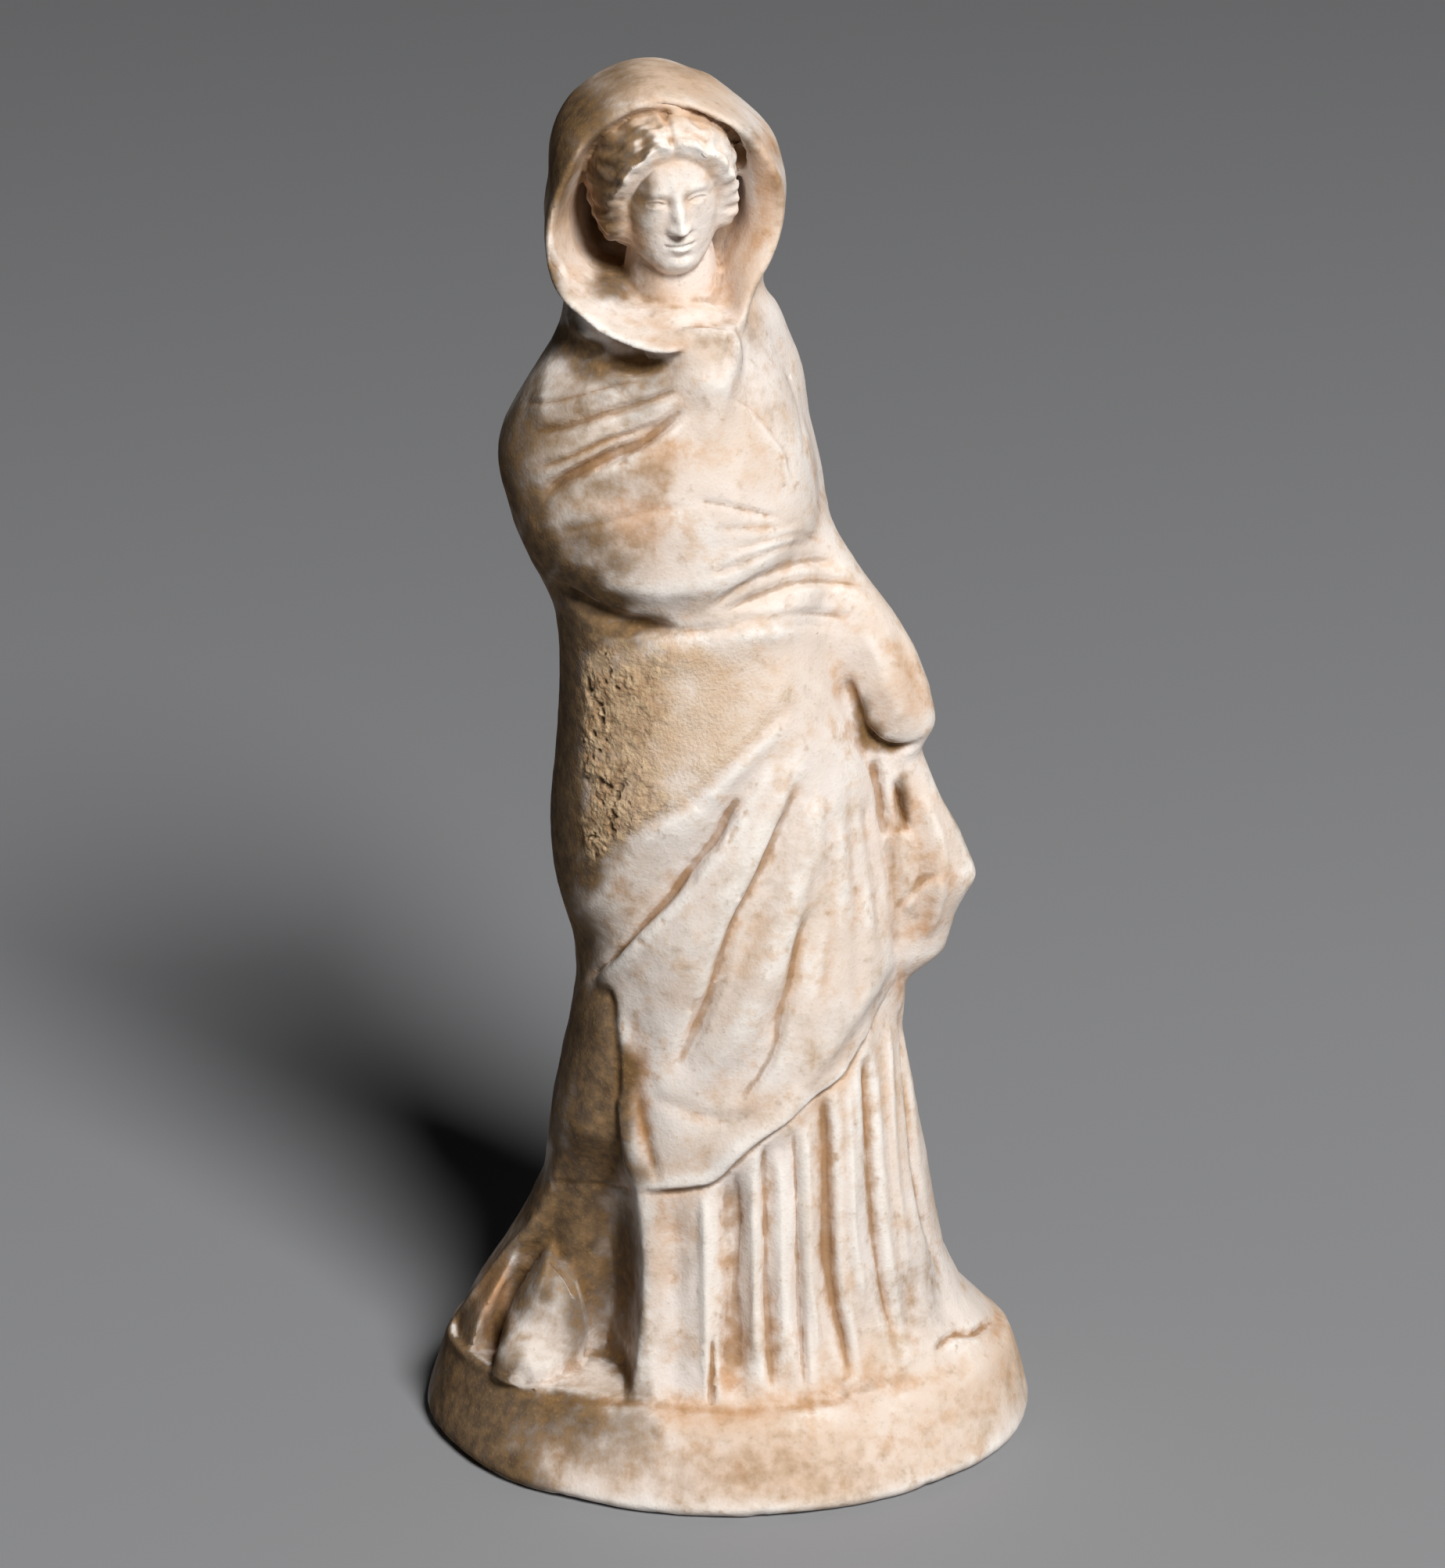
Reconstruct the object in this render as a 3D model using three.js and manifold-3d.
// A terracotta statuette of a standing woman wrapped in a mantle that also veils her head, on the low base it was
// moulded with. Millimetres, +Z up, the front towards -Y, the origin at the middle of the base's underside.
import * as THREE from "three";
import { mergeVertices } from "three/addons/utils/BufferGeometryUtils.js";
import Module from "manifold-3d";

const wasm = await Module();
wasm.setup();
const { smoothstep, lerp, degToRad } = THREE.MathUtils;

// Driving dimensions
const figureHeight = 187; // from the top of the base to the crown of the veil
const baseHeight = 13;
const baseWidth = 88;
const baseDepth = 72;
const baseRounding = 1.5; // of the edge the base stands on
const rimWidth = 81; // the base's upper edge, which its wall leans in to
const rimDepth = 52;
const rimLip = 1.2; // how far the base's edge shows outside the hem
const footing = 4; // how far the clay of the figure runs down into the base

// The figure's own pose and carving are in hundredths of its height, measured from the top of the base.
const share = figureHeight / 100;
const root = -footing / share;
const hem = { halfWidth: (rimWidth / 2 - rimLip) / share, halfDepth: (rimDepth / 2 - rimLip) / share };

// Each row: height, middle of the section in x, its half width, its front in y, its back in y
const gownRows = [
  [root, 0, hem.halfWidth, -hem.halfDepth, hem.halfDepth],
  [0, 0, hem.halfWidth, -hem.halfDepth, hem.halfDepth],
  [3.7, -0.7, 18.6, -12.6, 12.4],
  [7.8, -0.3, 16.7, -12.2, 11.2],
  [11.8, 0.5, 15.2, -12.0, 10.2],
  [17.6, 0.7, 14.0, -11.6, 9.3],
  [23.5, 0.9, 12.7, -11.3, 8.6],
  [27.3, 1.0, 11.9, -11.2, 8.4],
  [33.2, 0.7, 11.6, -11.2, 8.5],
  [39.0, -0.3, 12.1, -11.1, 8.9],
  [44.9, -0.8, 11.7, -10.8, 8.9],
  [50.8, -1.4, 10.6, -10.3, 8.1],
  [56.1, -2.0, 9.8, -9.6, 7.2],
  [60.4, -2.7, 9.6, -9.2, 6.9],
  [63.6, -3.7, 10.1, -9.6, 7.2],
  [67.9, -4.7, 10.7, -9.8, 7.7],
  [72.2, -5.4, 10.8, -9.6, 7.7],
  [75.9, -5.2, 9.4, -9.0, 7.4],
  [78.6, -4.8, 8.0, -8.2, 7.3],
  [81.0, -4.7, 6.8, -7.0, 7.6],
  [83.3, -4.7, 6.4, -5.6, 8.1],
  [86.5, -4.6, 6.6, -4.0, 8.6],
  [90.0, -4.6, 4.6, -2.0, 8.6],
];

// The covered left arm, hanging a little away from the hip, down to the underside of the hand
const armRows = [
  [48.2, 12.8, 1.3, -3.4, -0.6],
  [49.0, 12.6, 2.6, -4.4, 0.2],
  [51.5, 12.2, 3.3, -5.0, 0.9],
  [54.2, 11.2, 3.6, -5.0, 1.4],
  [57.9, 9.0, 4.2, -4.8, 1.8],
  [61.5, 6.5, 4.0, -4.6, 2.4],
  [65.2, 4.7, 3.4, -4.2, 2.8],
  [70.0, 3.0, 3.0, -3.7, 3.0],
];

// The corner of the mantle that hangs below that hand
const tailRows = [
  [29.2, 11.2, 1.6, -2.6, 0.6],
  [31.4, 12.2, 3.8, -3.9, 1.2],
  [35.3, 12.5, 4.6, -4.6, 1.4],
  [37.0, 13.2, 5.6, -4.8, 1.2],
  [39.1, 13.2, 5.5, -4.8, 1.2],
  [42.9, 12.4, 4.5, -4.6, 1.2],
  [46.7, 11.4, 3.5, -4.2, 1.3],
  [49.5, 11.2, 3.0, -3.8, 1.6],
  [54.0, 10.4, 2.6, -3.4, 1.8],
];

// The relaxed right leg, set back beside the front of the gown: the mantle over it ends at the shin.
const legRows = [
  [root, -10.6, 4.6, -4.8, 4.0],
  [6.0, -10.4, 4.3, -5.4, 4.0],
  [12.5, -10.0, 4.2, -5.8, 4.0],
  [16.6, -9.6, 4.2, -6.4, 4.0],
  [17.8, -9.2, 4.6, -8.6, 4.0],
  [22.5, -8.6, 4.4, -8.9, 4.0],
  [27.5, -8.0, 4.0, -9.4, 4.0],
  [32.0, -7.4, 3.8, -9.4, 4.0],
  [36.0, -6.4, 3.0, -7.0, 4.0],
];

// What is cut away from the gown to set that leg back and to leave room for the foot
const hollowRows = [
  [root, -14.6, 7.0, -24, -2.0],
  [5.0, -13.7, 7.0, -24, -2.6],
  [11.4, -12.8, 6.5, -24, -4.0],
  [17.2, -13.4, 6.9, -24, -5.4],
  [21.0, -14.0, 7.0, -24, -6.6],
  [25.6, -14.8, 7.0, -24, -8.0],
  [30.0, -15.6, 6.2, -24, -9.2],
  [33.2, -16.2, 4.8, -24, -10.2],
];

// A fold of the cloth: the points it runs through on the front, in x and height, how far it stands out of the
// cloth (a groove is negative) and its half width
const frontFolds = [
  { path: [[-14.6, 73.9], [-10.6, 76.7], [-7.3, 78.0], [-3.9, 79.2]], out: -0.55, spread: 0.6 },
  { path: [[-13.7, 69.6], [-10.7, 72.2], [-7.3, 74.8], [-4.5, 76.6], [-2.3, 78.0]], out: -0.75, spread: 0.7 },
  { path: [[-14.5, 75.6], [-9.5, 78.6], [-4.0, 80.2]], out: 0.7, spread: 2.0 },
  { path: [[-13.5, 67.0], [-9.0, 68.4], [-4.0, 69.0], [1.0, 69.8]], out: 0.45, spread: 2.2 },
  { path: [[2.6, 70.6], [0, 78.0]], out: -0.35, spread: 0.6 },
  { path: [[-12.7, 63.6], [-7.9, 61.9], [-4.5, 61.4], [-1.7, 61.9], [6.1, 65.5]], out: -1.1, spread: 0.9 },
  { path: [[-11.5, 65.6], [-7.5, 64.4], [-4.0, 63.9], [-1.0, 64.4], [3.5, 66.6]], out: 0.6, spread: 1.3 },
  { path: [[-1.0, 60.8], [3.6, 61.8], [9.4, 63.0]], out: 0.4, spread: 0.7 },
  { path: [[0.6, 64.6], [4.4, 65.4], [8.6, 66.6]], out: -0.35, spread: 0.6 },
  { path: [[3.9, 56.8], [0.5, 52.5], [-4.0, 48.2], [-8.4, 44.6]], out: 0.5, spread: 1.1 },
  { path: [[3.4, 51.9], [-1.8, 44.5], [-4.6, 40.8], [-8.1, 37.0], [-11.4, 33.4]], out: -1.0, spread: 0.8 },
  { path: [[5.0, 50.0], [1.6, 44.0], [-2.6, 37.6], [-6.4, 33.0]], out: 0.5, spread: 1.3 },
  { path: [[5.7, 49.5], [4.0, 44.5], [2.5, 40.2], [0.5, 35.2], [-3.6, 26.2]], out: -1.0, spread: 0.8 },
  { path: [[6.4, 47.0], [4.6, 40.2], [2.2, 33.4], [-0.8, 27.4]], out: 0.45, spread: 0.9 },
  { path: [[6.9, 46.4], [6.3, 40.2], [5.1, 35.2], [1.7, 27.6], [-3.5, 23.1]], out: -0.75, spread: 0.7 },
  { path: [[9.0, 47.0], [9.2, 40.0], [8.0, 33.0]], out: -0.45, spread: 0.8 },
  { path: [[7.4, 58.2], [9.8, 53.6], [12.2, 51.6]], out: -0.6, spread: 0.7 },
  { path: [[-7.6, 31.6], [-6.6, 25.4], [-5.4, 19.4]], out: -0.4, spread: 0.6 },
];

// The same on the back, where the mantle is drawn up to her left shoulder
const backFolds = [
  { path: [[-12, 42], [-6, 50], [0, 60], [4, 72]], out: -0.45, spread: 1.0 },
  { path: [[-11, 52], [-6, 60], [-2, 70], [1, 78]], out: -0.4, spread: 1.0 },
  { path: [[-9, 34], [-1, 42], [6, 52], [9, 60]], out: -0.45, spread: 1.0 },
];

// The mantle's lower edge on the front, as height over x, and how far the mantle stands out of the gown there
const mantleEdge = [[-30, 17.2], [-6.6, 17.2], [1.7, 19.3], [6.4, 25.7], [11.0, 31.0], [13.1, 32.6], [30, 32.6]];
const mantleBackEdge = 27;
const mantleOut = 0.7;

// The gown's pleats below that edge: where each groove starts at the hem, in x, and its half width
const pleats = [[-4.4, 0.7], [0.9, 0.7], [4.4, 0.8], [7.8, 0.9], [11.2, 1.0], [14.6, 0.9], [17.4, 0.8]];
const pleatDepth = 0.75;
const pleatGather = 0.2; // how much closer the pleats are at the mantle's edge than at the hem
const backPleatPitch = 4.6;

function closed(geometry) {
  geometry.deleteAttribute("uv");
  geometry.deleteAttribute("normal");
  return mergeVertices(geometry, 1e-5);
}

function moved(geometry, place) {
  const position = geometry.attributes.position;
  const point = new THREE.Vector3();
  for (let i = 0; i < position.count; i++) {
    point.fromBufferAttribute(position, i);
    place(point);
    position.setXYZ(i, point.x, point.y, point.z);
  }
  return geometry;
}

function solid(geometry) {
  const mesh = { numProp: 3, vertProperties: geometry.attributes.position.array };
  mesh.triVerts = new Uint32Array(geometry.index.array);
  const made = new wasm.Manifold(new wasm.Mesh(mesh));
  if (made.volume() < 0) throw new Error("a solid is inside out");
  return made;
}

// From shares of the figure to millimetres above the underside
function onBase(point) {
  point.multiplyScalar(share);
  point.z += baseHeight;
}

function along(rows) {
  const heights = rows.map((row) => row[0]);
  const sizes = rows.flatMap((row) => row.slice(1));
  return new THREE.CubicInterpolant(heights, sizes, rows[0].length - 1);
}

const power = (value, exponent) => Math.sign(value) * Math.abs(value) ** exponent;

// Heights from the foot of the rows to their head: each stretch is its end and its number of equal steps.
function levelsThrough(low, stretches) {
  const levels = [low];
  for (const [end, count] of stretches) {
    const start = levels.at(-1);
    for (let i = 1; i <= count; i++) levels.push(lerp(start, end, i / count));
  }
  return levels;
}

// A cylinder whose sections follow the rows. Its points crowd towards the front, where the carving is, and its
// lines can climb aslant, as the folds do.
function column(rows, { around, levels, roundness = 1, crowding = 0, slant = () => 0, carve = () => 0 }) {
  const section = along(rows);
  const up = levels.length - 1;
  const cylinder = closed(new THREE.CylinderGeometry(1, 1, 1, around, up));
  return moved(cylinder, (point) => {
    const height = levels[Math.round((point.y + 0.5) * up)];
    const reach = Math.hypot(point.x, point.z);
    let turn = Math.atan2(point.x, point.z) + slant(height);
    turn = THREE.MathUtils.euclideanModulo(turn + Math.PI, 2 * Math.PI) - Math.PI;
    turn -= crowding * Math.sin(turn);
    const [middle, halfWidth, front, back] = section.evaluate(height);
    const across = power(Math.sin(turn), roundness);
    const ahead = power(Math.cos(turn), roundness);
    const x = middle + halfWidth * across * reach;
    const y = (front + back) / 2 - ((back - front) / 2) * ahead * reach;
    const out = reach > 0.5 ? carve(x, height, turn) : 0;
    point.set(x + Math.sin(turn) * out, y - Math.cos(turn) * out, height);
    onBase(point);
  });
}

// How far the folds lift or sink the cloth at a place, each fading out towards its ends
function foldShape(folds) {
  const lines = folds.map(({ path, out, spread }) => {
    const curve = new THREE.CatmullRomCurve3(path.map(([x, height]) => new THREE.Vector3(x, 0, height)));
    const count = 24;
    const points = curve.getPoints(count).map((at, i) => [at.x, at.z, Math.sin((Math.PI * i) / count) ** 0.35]);
    return { points, out, spread };
  });
  return (x, height) => {
    let sum = 0;
    for (const { points, out, spread } of lines) {
      let best = 0;
      for (const [px, ph, strength] of points) {
        best = Math.max(best, strength * Math.exp(-((x - px) ** 2 + (height - ph) ** 2) / (2 * spread * spread)));
      }
      sum += out * best;
    }
    return sum;
  };
}

const frontShape = foldShape(frontFolds);
const backShape = foldShape(backFolds);
const edgeHeight = along(mantleEdge);

function clothShape(x, height, turn) {
  const isFront = Math.abs(turn) < Math.PI / 2;
  const facing = smoothstep(Math.abs(Math.cos(turn)), 0.05, 0.35);
  const edge = isFront ? lerp(mantleBackEdge, edgeHeight.evaluate(x)[0], facing) : mantleBackEdge;
  const mantle = mantleOut * smoothstep(height, edge - 0.7, edge + 0.7);
  const below = 1 - smoothstep(height, edge - 2.5, edge - 0.5);
  const gather = 1 - (pleatGather * height) / mantleBackEdge;
  let pleating = 0;
  if (isFront) {
    for (const [start, spread] of pleats) pleating -= Math.exp(-(((x - start * gather) / spread) ** 2));
  } else {
    pleating = -0.4 - 0.4 * Math.cos((2 * Math.PI * x) / (backPleatPitch * gather));
  }
  const folds = isFront ? frontShape(x, height) : backShape(x, height);
  return mantle + facing * (folds + pleatDepth * pleating * below);
}

function base() {
  const waist = baseHeight * 0.45;
  const lean = (baseHeight - waist) / 2;
  const rows = [
    [0, baseWidth / 2 - baseRounding, baseDepth / 2 - baseRounding],
    [baseRounding, baseWidth / 2, baseDepth / 2],
    [waist, (baseWidth * 2 + rimWidth) / 6, (baseDepth * 2 + rimDepth) / 6],
    [baseHeight - lean / 2, (baseWidth + rimWidth * 5) / 12, (baseDepth + rimDepth * 3) / 8],
    [baseHeight, rimWidth / 2, rimDepth / 2],
  ];
  const cylinder = closed(new THREE.CylinderGeometry(1, 1, 1, 52, rows.length - 1));
  return moved(cylinder, (point) => {
    const [z, halfWidth, halfDepth] = rows[Math.round((point.y + 0.5) * (rows.length - 1))];
    point.set(point.x * halfWidth, -point.z * halfDepth, z);
  });
}

// The head and veil are turned to her left, and stand off the middle of the base.
const headTurn = degToRad(13);
const headPlace = new THREE.Vector3(-4.6, 0.4, 90.2);

function turned(geometry) {
  return moved(geometry, (point) => {
    point.applyAxisAngle(new THREE.Vector3(0, 0, 1), headTurn).add(headPlace);
    onBase(point);
  });
}

// An egg about a centre, with its half sizes, squared off a little by a roundness under 1
function egg([x, y, z], [wide, deep, high], { around = 20, up = 14, roundness = 1 } = {}) {
  const sphere = closed(new THREE.SphereGeometry(1, around, up)).rotateX(Math.PI / 2);
  return moved(sphere, (point) => {
    point.set(power(point.x, roundness), power(point.y, roundness), power(point.z, roundness));
    point.multiply(new THREE.Vector3(wide, deep, high)).add(new THREE.Vector3(x, y, z));
  });
}

const placed = (shape) => solid(moved(shape, onBase));

const veil = () => solid(turned(egg([0, 0.4, 0], [8.6, 9.2, 9.8], { around: 26, up: 15, roundness: 0.95 })));
const veilHollow = () => solid(turned(egg([0, -5.0, 0.2], [8.0, 9.5, 8.1], { around: 26, up: 15 })));

// The rolled edge of the mantle, which stands out under the chin like a bowl
const cowl = () => placed(egg([-5.4, -3.4, 83.1], [6.6, 7.6, 3.3], { around: 20, up: 8 }));
const coveredHand = () => placed(egg([-1.8, -6.8, 80.3], [2.8, 3.2, 3.9], { around: 12, up: 7 }));

// A calm, plain face, as what its nose, brows, lips and chin add to the oval: across and up in shares of the figure
function faceRelief(x, z) {
  const bump = (across, up, wide, high) => Math.exp(-(((x - across) / wide) ** 2) - ((z - up) / high) ** 2);
  const pair = (across, up, wide, high) => bump(across, up, wide, high) + bump(-across, up, wide, high);
  const nose = smoothstep(-z, -1.2, 1.1) * (1 - smoothstep(-z, 1.2, 1.9)) * Math.exp(-((x / 0.62) ** 2));
  const eyes = 0.3 * pair(1.7, 0.35, 0.8, 0.45) - 0.5 * pair(1.6, 0.5, 1.3, 0.9);
  const lips = 0.35 * bump(0, -2.6, 1.1, 0.35) + 0.3 * bump(0, -3.2, 0.9, 0.35);
  return 1.15 * nose + eyes + lips + 0.35 * bump(0, -4.3, 1.0, 0.6);
}

function face() {
  const [wide, deep, high] = [4.3, 5.2, 5.1];
  const crowding = 0.5;
  const oval = closed(new THREE.SphereGeometry(1, 24, 18)).rotateX(Math.PI / 2);
  return solid(turned(moved(oval, (point) => {
    const ring = Math.hypot(point.x, point.y);
    let turn = Math.atan2(point.x, -point.y);
    turn -= crowding * Math.sin(turn);
    const jaw = smoothstep(-point.z, 0, 1);
    const x = ring * Math.sin(turn) * wide * (1 - 0.16 * jaw);
    const front = Math.cos(turn);
    const relief = faceRelief(x, point.z * high) * smoothstep(front * ring, 0.1, 0.6);
    const y = -power(front, 0.8) * ring * deep * (1 - 0.1 * jaw) - relief;
    point.set(0.3 + x, y - 1.9, point.z * high + 0.3);
  })));
}

const hair = () => solid(turned(egg([0.2, -0.2, 2.0], [5.7, 5.9, 4.9], { around: 18, up: 11 })));

const neckRows = [
  [76, -4.6, 4.6, -5.4, 4.0],
  [81, -4.5, 3.9, -4.6, 3.2],
  [88, -4.4, 3.4, -4.6, 3.2],
];

// The forward right foot under the hem: its toes and its instep
const toes = () => placed(egg([-14.8, -7.6, 1.0], [2.6, 2.8, 2.6], { around: 12, up: 7 }));
const instep = () => placed(egg([-13.2, -4.8, 2.6], [2.6, 4.0, 5.4], { around: 12, up: 8 }));

// The same number of steps between the ends of plain rows
const evenly = (rows, count) => levelsThrough(rows[0][0], [[rows.at(-1)[0], count]]);

const gownLevels = levelsThrough(root, [[0, 1], [20, 6], [54, 24], [64, 7], [81, 12], [90, 3]]);
const slant = (height) => 0.04 * (THREE.MathUtils.clamp(height, 25, 80) - 40);
const gown = solid(
  column(gownRows, { around: 54, levels: gownLevels, roundness: 0.9, crowding: 0.4, slant, carve: clothShape }),
);
const hollow = solid(column(hollowRows, { around: 18, levels: evenly(hollowRows, 8), roundness: 0.8 }));
const cloth = [
  gown.subtract(hollow),
  solid(column(legRows, { around: 14, levels: evenly(legRows, 12) })),
  solid(column(armRows, { around: 14, levels: evenly(armRows, 8) })),
  solid(column(tailRows, { around: 14, levels: evenly(tailRows, 8) })),
  veil(),
  cowl(),
].reduce((sum, next) => sum.add(next));
const neck = solid(column(neckRows, { around: 14, levels: evenly(neckRows, 3) }));
const body = [coveredHand(), toes(), instep(), neck, hair(), face()];
const whole = [solid(base()), ...body].reduce((sum, next) => sum.add(next), cloth.subtract(veilHollow()));

function geometryOf(made) {
  const { vertProperties, triVerts, numProp } = made.getMesh();
  const geometry = new THREE.BufferGeometry();
  geometry.setAttribute("position", new THREE.BufferAttribute(Float32Array.from(vertProperties), numProp));
  geometry.setIndex(new THREE.BufferAttribute(triVerts, 1));
  geometry.computeVertexNormals();
  return geometry;
}

const clay = new THREE.MeshStandardMaterial({ color: "#dcc6aa", roughness: 0.92, metalness: 0 });
const statuette = new THREE.Group();
const figurine = new THREE.Mesh(geometryOf(whole), clay);
figurine.name = "figurine";
statuette.add(figurine);

export default statuette;
